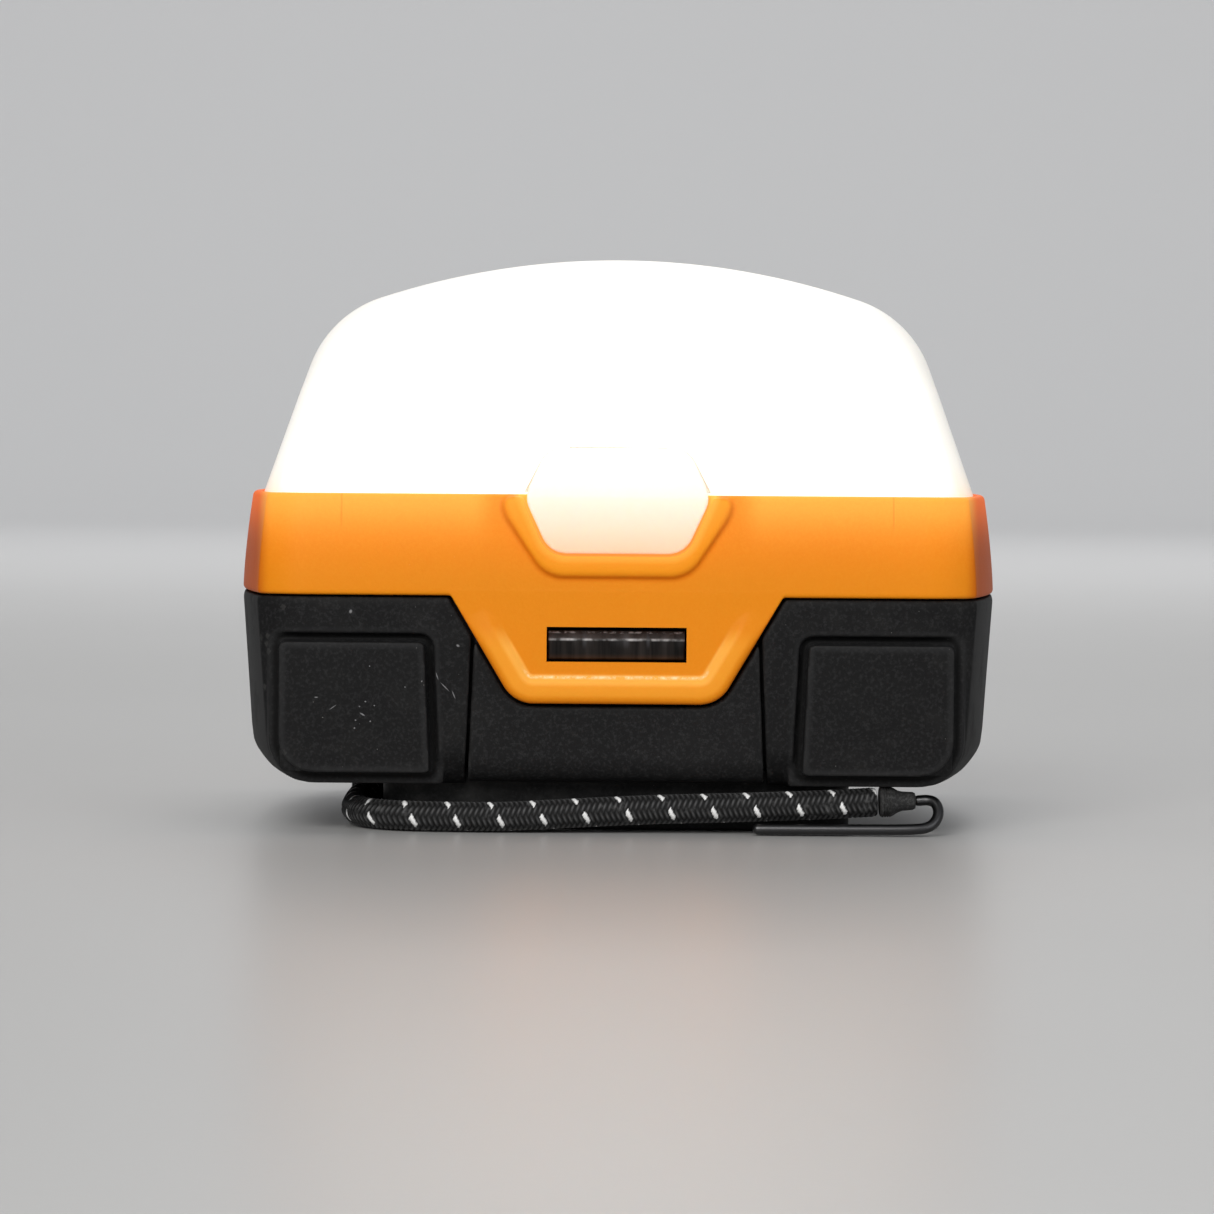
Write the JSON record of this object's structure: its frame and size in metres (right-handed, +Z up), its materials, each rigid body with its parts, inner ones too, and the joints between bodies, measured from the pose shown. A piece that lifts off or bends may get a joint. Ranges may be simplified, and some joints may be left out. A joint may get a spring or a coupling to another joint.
{
  "type": "camping lantern",
  "caption": "Compact camping lantern: lit milky dome, orange collar with push button and latch tongues, black rubber-cornered battery base, elastic hanging cord with hook.",
  "frame": {"origin": "centre of the plan at the height of the surface that the foot stands on", "axes": "+Z up; -Y is the front with the push button; +X is to the right seen from the front"},
  "size_m": [0.0798, 0.0564, 0.0593],
  "materials": {
    "dome_plastic": "milky translucent, lit from inside",
    "orange_plastic": "fine satin moulded",
    "button_silicone": "translucent, satin",
    "seal_rubber": "matt",
    "base_seal_rubber": "matt",
    "chassis_plastic": "satin",
    "circuit_board": "solder mask",
    "light_board": "white solder mask",
    "reflector_film": "white film",
    "led_package": "phosphor",
    "screw_steel": "plated",
    "switch_metal": "stamped",
    "switch_plastic": "satin",
    "contact_brass": "gold plated",
    "base_plastic": "fine satin moulded",
    "bumper_rubber": "matt, with dust",
    "foot_plastic": "satin",
    "magnet_metal": "nickel plated",
    "cell_jacket": "printed film without any mark",
    "spring_steel": "drawn wire",
    "contact_nickel": "nickel plated strip",
    "catch_plastic": "smooth, slightly worn",
    "anchor_plastic": "satin",
    "cord_braid": "braided, with pale tracer flecks",
    "hook_wire": "black coated wire"
  },
  "bodies": {
    "base": {"base_tub": "base_plastic", "bumper_left": "bumper_rubber", "bumper_right": "bumper_rubber", "base_gasket": "base_seal_rubber", "foot_plate": "foot_plastic", "foot_magnet": "magnet_metal", "foot_screw_1": "screw_steel", "foot_screw_2": "screw_steel", "foot_screw_3": "screw_steel", "foot_screw_4": "screw_steel", "battery_1": "cell_jacket", "battery_2": "cell_jacket", "battery_3": "cell_jacket", "battery_spring_1": "spring_steel", "battery_spring_2": "spring_steel", "battery_spring_3": "spring_steel", "contact_plate_left": "contact_nickel", "contact_plate_right": "contact_nickel", "cord_anchor": "anchor_plastic", "cord": "cord_braid", "cord_crimp": "anchor_plastic", "cord_hook": "hook_wire"},
    "head": {"diffuser_dome": "dome_plastic", "collar": "orange_plastic", "dome_gasket": "seal_rubber", "chassis_plate": "chassis_plastic", "chassis_screw_1": "screw_steel", "chassis_screw_2": "screw_steel", "chassis_screw_3": "screw_steel", "chassis_screw_4": "screw_steel", "driver_board": "circuit_board", "led_board": "light_board", "reflector_sheet": "reflector_film", "led_1": "led_package", "led_2": "led_package", "led_3": "led_package", "led_4": "led_package", "led_5": "led_package", "led_6": "led_package", "led_board_screw_1": "screw_steel", "led_board_screw_2": "screw_steel", "switch_board": "circuit_board", "tactile_switch": "switch_metal", "contact_pin_left": "contact_brass", "contact_pin_right": "contact_brass"},
    "power_button": {"power_button": "button_silicone", "switch_plunger": "switch_plastic"},
    "release_catch_front": {"release_catch_front": "catch_plastic", "catch_spring_front": "spring_steel"},
    "release_catch_rear": {"release_catch_rear": "catch_plastic", "catch_spring_rear": "spring_steel"}
  },
  "joints": [
    {"name": "head_lift", "type": "slide", "parent": "base", "child": "head", "axis": [0, 0, 1], "range_m": [0, 0.03]},
    {"name": "power_button_press", "type": "slide", "parent": "head", "child": "power_button", "axis": [0, 1, 0], "range_m": [0, 0.0006], "stiffness_N_per_m": 400, "springref_m": -0.001},
    {"name": "release_catch_front_press", "type": "slide", "parent": "base", "child": "release_catch_front", "axis": [0, 1, 0], "range_m": [0, 0.001], "stiffness_N_per_m": 300, "springref_m": -0.001, "deforming": ["catch_spring_front"]},
    {"name": "release_catch_rear_press", "type": "slide", "parent": "base", "child": "release_catch_rear", "axis": [0, -1, 0], "range_m": [0, 0.001], "stiffness_N_per_m": 300, "springref_m": -0.001, "deforming": ["catch_spring_rear"]}
  ]
}
